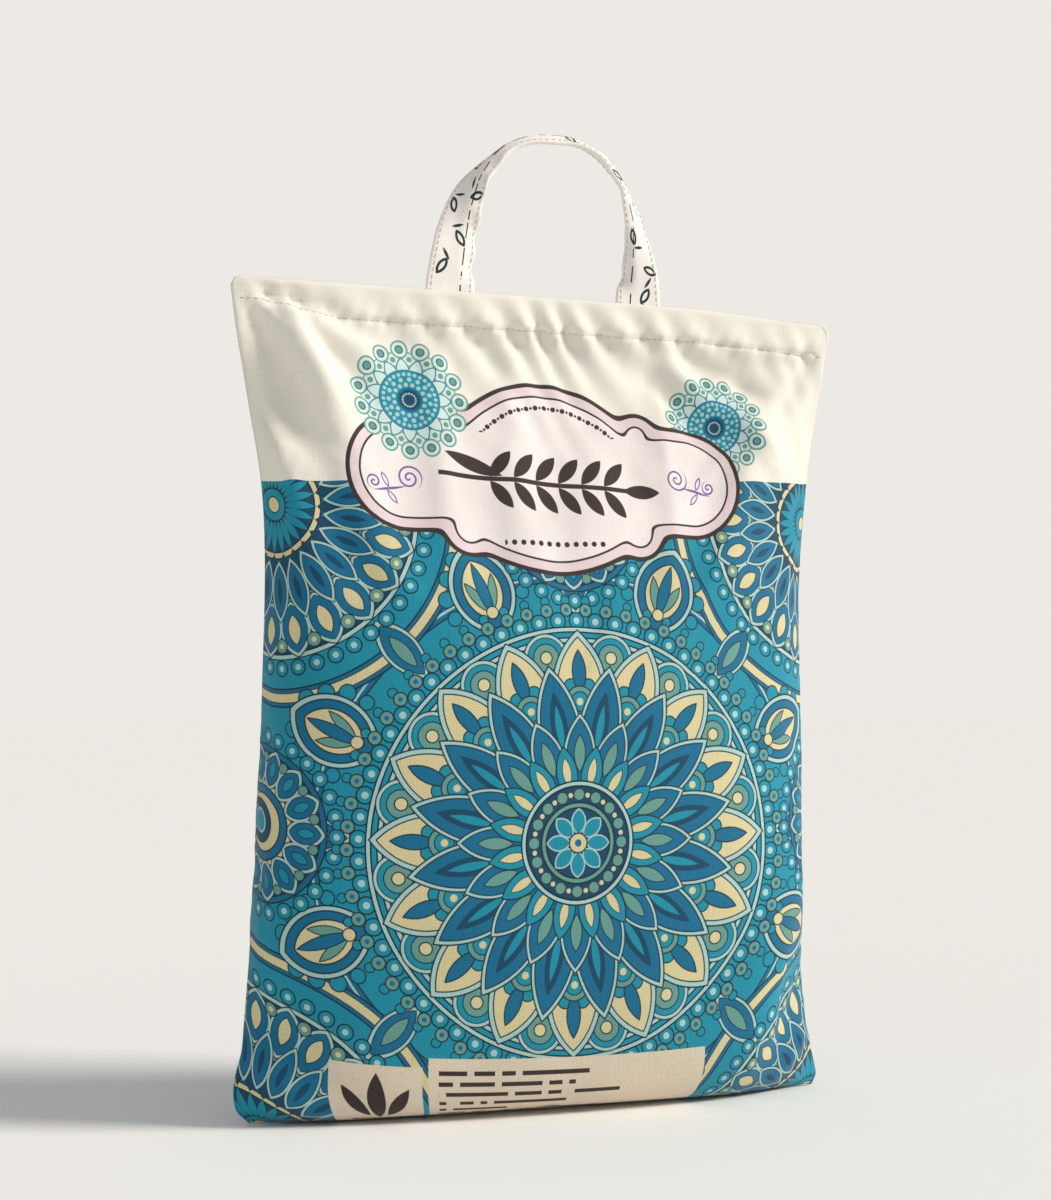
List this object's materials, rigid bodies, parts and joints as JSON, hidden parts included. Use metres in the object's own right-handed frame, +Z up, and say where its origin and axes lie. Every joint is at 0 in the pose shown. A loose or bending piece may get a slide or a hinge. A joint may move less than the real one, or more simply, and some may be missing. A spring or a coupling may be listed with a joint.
{
  "type": "bag of rice",
  "caption": "Full cotton rice bag, sewn shut, standing on its flattened base, with a loop carry strap sewn into the top hem.",
  "frame": {"origin": "middle of the bag's base, on the surface it stands on", "axes": "+Z up to the strap; +Y from the printed front to the back, through the bag's depth"},
  "size_m": [0.378, 0.112, 0.5727],
  "materials": {
    "bag_canvas": "matt printed cotton canvas",
    "strap_canvas": "matt cotton canvas, folded and sewn"
  },
  "bodies": {
    "root": {"filled_bag": "bag_canvas", "carry_strap": "strap_canvas"}
  },
  "joints": []
}
